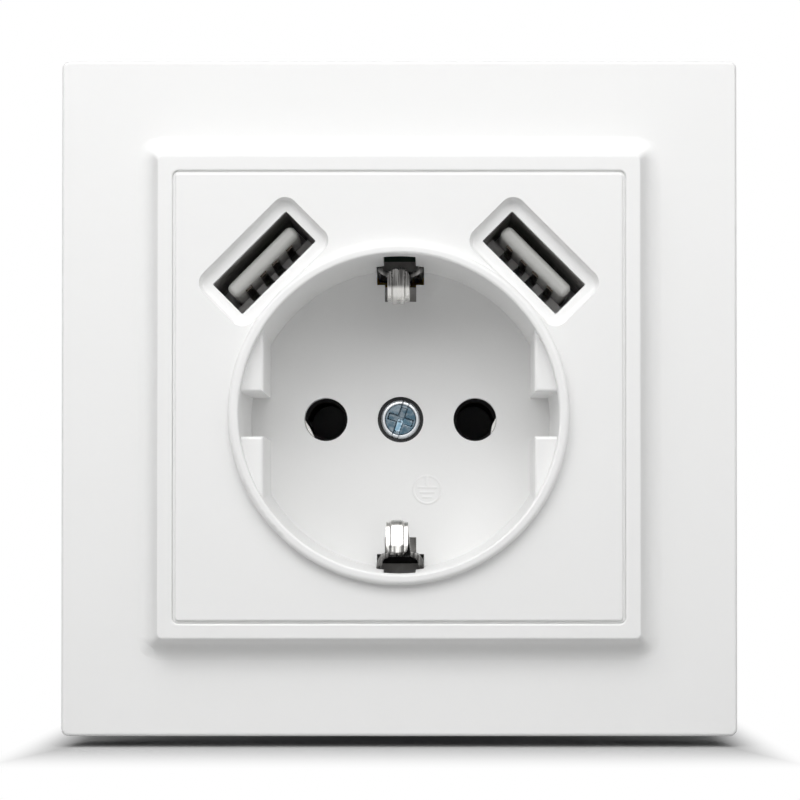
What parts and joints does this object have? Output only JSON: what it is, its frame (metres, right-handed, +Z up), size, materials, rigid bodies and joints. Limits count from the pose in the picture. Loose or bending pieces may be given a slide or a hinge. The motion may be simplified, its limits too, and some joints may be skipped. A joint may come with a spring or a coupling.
{
  "type": "usb wall socket",
  "caption": "Square flush wall socket with a round earthed plug well and USB-A ports set diagonally in the upper corners, with its wall-box plate, claws and charger inside.",
  "frame": {"origin": "middle of the outer frame on the wall's face, between the wall-box screws", "axes": "+Y into the wall, +Z up, +X to the right of someone facing the socket"},
  "size_m": [0.083, 0.0412, 0.083],
  "materials": {
    "white_plastic": "smooth moulded, satin",
    "dark_plastic": "moulded",
    "grey_plastic": "moulded",
    "zinc_steel": "zinc plated",
    "nickel_plate": "nickel plated spring",
    "brass": "bare stamped",
    "port_steel": "tinned sheet",
    "port_plastic": "moulded",
    "gold_plate": "plated",
    "board_green": "solder mask",
    "ferrite": "pressed and ground",
    "coil_tape": "tape",
    "can_sleeve": "shrink sleeve",
    "chip_black": "moulded",
    "lead_brown": "wire insulation",
    "lead_blue": "wire insulation"
  },
  "bodies": {
    "socket": {"charger_board": "board_green", "charger_cap": "grey_plastic", "charger_chip": "chip_black", "contact_base": "dark_plastic", "cover_screw": "zinc_steel", "earth_strap": "brass", "earth_terminal": "brass", "earth_terminal_screw": "zinc_steel", "fuse": "port_plastic", "input_capacitor": "can_sleeve", "left_usb_contacts": "gold_plate", "left_usb_insulator": "port_plastic", "left_usb_shell": "port_steel", "live_contact": "brass", "live_lead": "lead_brown", "live_terminal": "brass", "live_terminal_screw": "zinc_steel", "mounting_plate": "zinc_steel", "neutral_contact": "brass", "neutral_lead": "lead_blue", "neutral_terminal": "brass", "neutral_terminal_screw": "zinc_steel", "outer_frame": "white_plastic", "output_capacitors": "can_sleeve", "plate_screws": "zinc_steel", "rear_housing": "grey_plastic", "rectifier": "chip_black", "right_usb_contacts": "gold_plate", "right_usb_insulator": "port_plastic", "right_usb_shell": "port_steel", "socket_cover": "white_plastic", "transformer_bobbin": "chip_black", "transformer_core": "ferrite", "transformer_winding": "coil_tape"},
    "upper_earth": {"upper_earth_contact": "nickel_plate"},
    "lower_earth": {"lower_earth_contact": "nickel_plate"},
    "left_claw_screw": {"left_claw_screw": "zinc_steel"},
    "right_claw_screw": {"right_claw_screw": "zinc_steel"},
    "left_claw": {"left_claw": "zinc_steel"},
    "right_claw": {"right_claw": "zinc_steel"}
  },
  "joints": [
    {"name": "upper_earth_flex", "type": "hinge", "parent": "socket", "child": "upper_earth", "pos_m": [0, 0.0098, 0.0156], "axis": [-1, 0, 0], "range_deg": [0, 8], "stiffness_Nm_per_rad": 0.4},
    {"name": "lower_earth_flex", "type": "hinge", "parent": "socket", "child": "lower_earth", "pos_m": [0, 0.0098, -0.0198], "axis": [1, 0, 0], "range_deg": [0, 8], "stiffness_Nm_per_rad": 0.4},
    {"name": "left_claw_tilt", "type": "hinge", "parent": "socket", "child": "left_claw_screw", "pos_m": [-0.0234, -0.001, 0.00297], "axis": [0, 0, 1], "range_deg": [0, 7]},
    {"name": "left_claw_draw", "type": "slide", "parent": "left_claw_screw", "child": "left_claw", "axis": [0, -1, 0], "range_m": [0, 0.006]},
    {"name": "right_claw_tilt", "type": "hinge", "parent": "socket", "child": "right_claw_screw", "pos_m": [0.0234, -0.001, 0.00297], "axis": [0, 0, -1], "range_deg": [0, 7]},
    {"name": "right_claw_draw", "type": "slide", "parent": "right_claw_screw", "child": "right_claw", "axis": [0, -1, 0], "range_m": [0, 0.006]}
  ],
  "couplings": [
    {"joint": "left_claw_draw", "follows": "left_claw_tilt", "m_per_rad": 0.049111},
    {"joint": "right_claw_draw", "follows": "right_claw_tilt", "m_per_rad": 0.049111}
  ]
}
